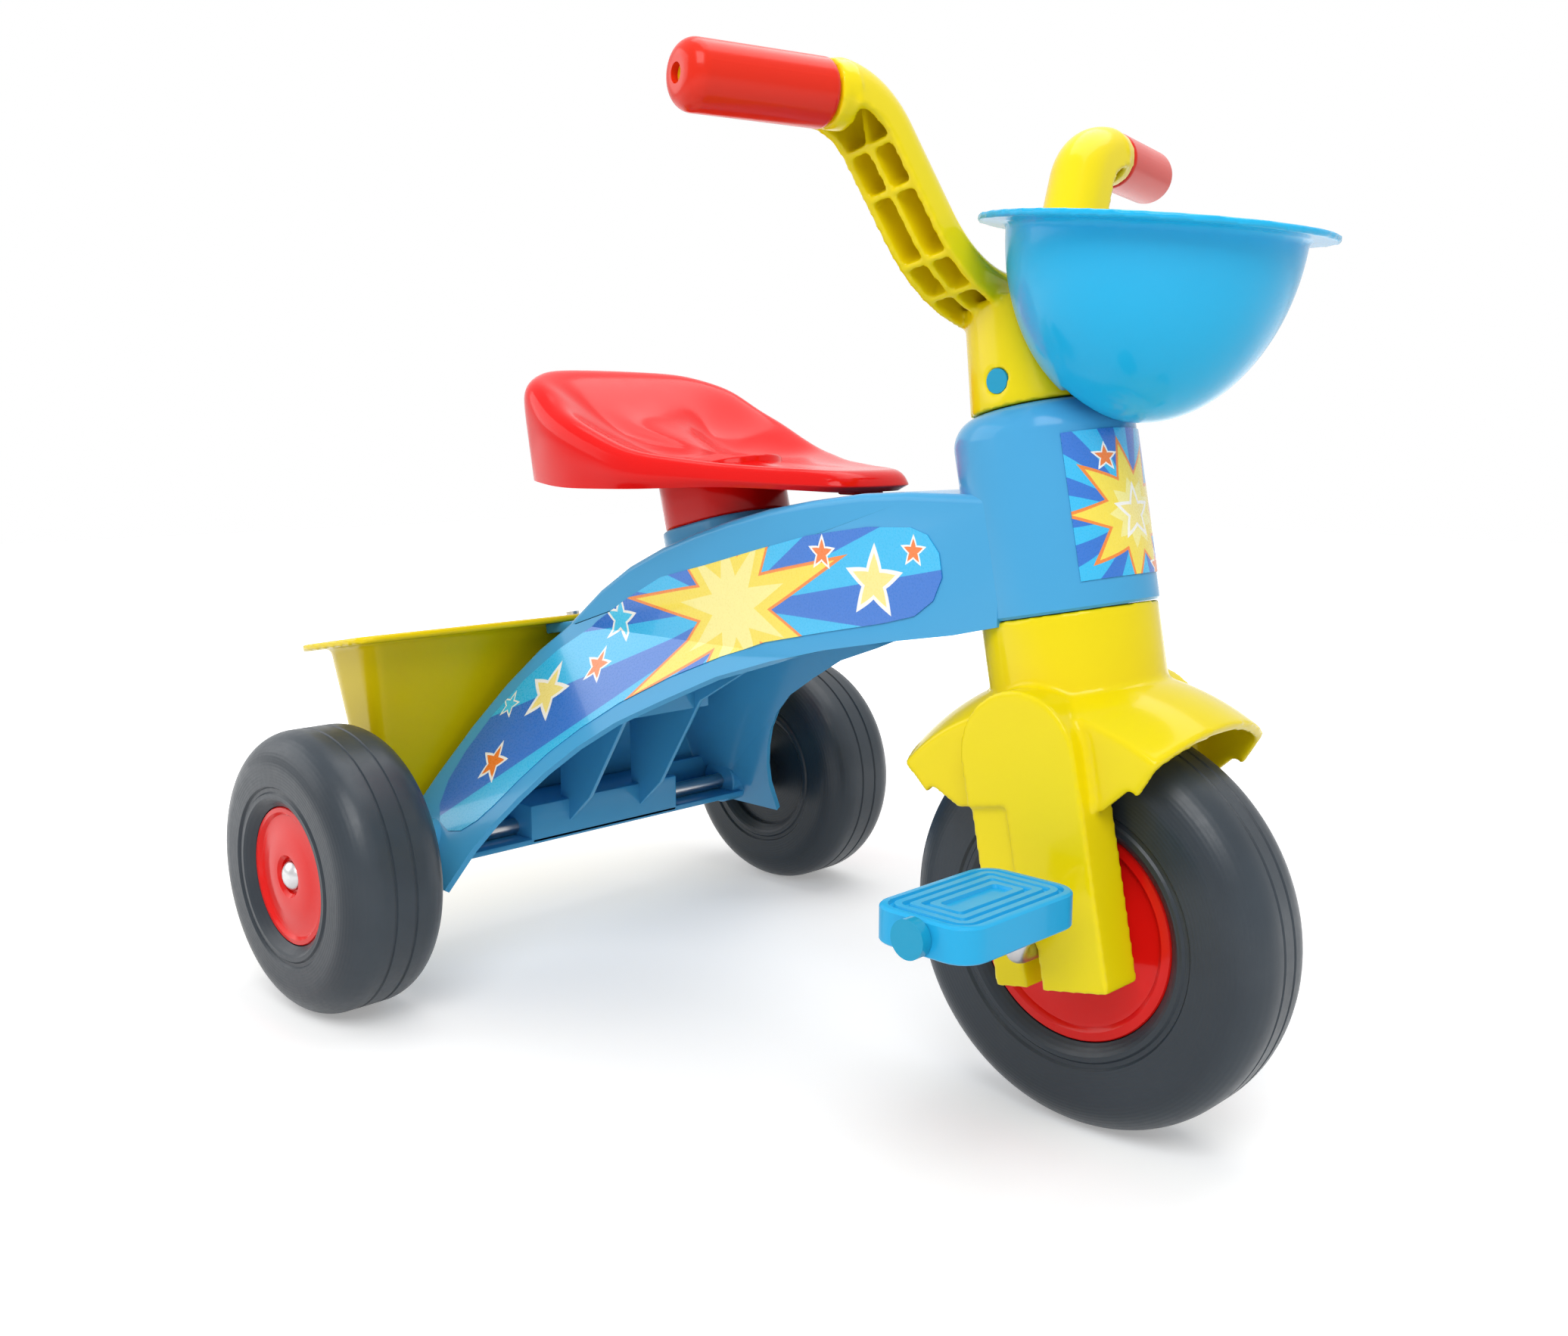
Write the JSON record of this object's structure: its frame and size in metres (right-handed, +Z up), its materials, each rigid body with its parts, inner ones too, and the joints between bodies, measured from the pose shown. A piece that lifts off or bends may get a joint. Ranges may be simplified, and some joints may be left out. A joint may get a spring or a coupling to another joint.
{
  "type": "tricycle",
  "caption": "Children's ride-on pedal tricycle: moulded frame, steering fork with wide handlebar and a front bowl, pedalled front wheel, twin rear wheels, bucket seat and rear tub.",
  "frame": {"origin": "on the floor, under the middle of the whole tricycle's bounding box", "axes": "+X forward, the way the rider faces; +Y to the rider's left; +Z up"},
  "size_m": [0.55, 0.42, 0.468],
  "materials": {
    "tyre": "satin",
    "hub": "gloss",
    "seat": "gloss",
    "grip": "gloss",
    "yellow": "gloss",
    "blue": "gloss",
    "bowl": "gloss",
    "pedal": "gloss",
    "plug": "gloss",
    "steel": "satin"
  },
  "bodies": {
    "frame": {"frame_body": "blue", "rear_axle": "steel", "rear_axle_cap_left": "steel", "rear_axle_cap_right": "steel", "rear_washer_left": "steel", "rear_washer_right": "steel", "seat": "seat", "seat_screw_front": "steel", "seat_screw_rear": "steel", "tub": "yellow", "tub_screw_left": "steel", "tub_screw_right": "steel"},
    "steering": {"fork": "yellow", "axle_keeper_left": "yellow", "axle_keeper_right": "yellow", "handlebar": "yellow", "grip_left": "grip", "grip_right": "grip", "stem_pin": "plug", "bowl": "bowl", "bowl_screw_low": "steel", "bowl_screw_high": "steel"},
    "front_wheel": {"front_tyre": "tyre", "front_hub_left": "hub", "front_hub_right": "hub", "crank": "steel", "pedal_cap_left": "plug", "pedal_cap_right": "plug"},
    "pedal_right": {"pedal_right": "pedal"},
    "pedal_left": {"pedal_left": "pedal"},
    "rear_wheel_left": {"rear_tyre_left": "tyre", "rear_hub_left": "hub"},
    "rear_wheel_right": {"rear_tyre_right": "tyre", "rear_hub_right": "hub"}
  },
  "joints": [
    {"name": "steer", "type": "hinge", "parent": "frame", "child": "steering", "pos_m": [0.16033, 0, 0.2357], "axis": [-0.1994, 0, 0.9799], "range_deg": [-45, 45]},
    {"name": "front_wheel_spin", "type": "hinge", "parent": "steering", "child": "front_wheel", "pos_m": [0.181, 0, 0.094], "axis": [0, 1, 0], "continuous": true},
    {"name": "pedal_right_spin", "type": "hinge", "parent": "front_wheel", "child": "pedal_right", "pos_m": [0.19693, -0.112, 0.1274], "axis": [0, 1, 0], "continuous": true},
    {"name": "pedal_left_spin", "type": "hinge", "parent": "front_wheel", "child": "pedal_left", "pos_m": [0.16507, 0.112, 0.0606], "axis": [0, 1, 0], "continuous": true},
    {"name": "rear_wheel_left_spin", "type": "hinge", "parent": "frame", "child": "rear_wheel_left", "pos_m": [-0.1965, 0.18, 0.0785], "axis": [0, 1, 0], "continuous": true},
    {"name": "rear_wheel_right_spin", "type": "hinge", "parent": "frame", "child": "rear_wheel_right", "pos_m": [-0.1965, -0.18, 0.0785], "axis": [0, 1, 0], "continuous": true}
  ]
}
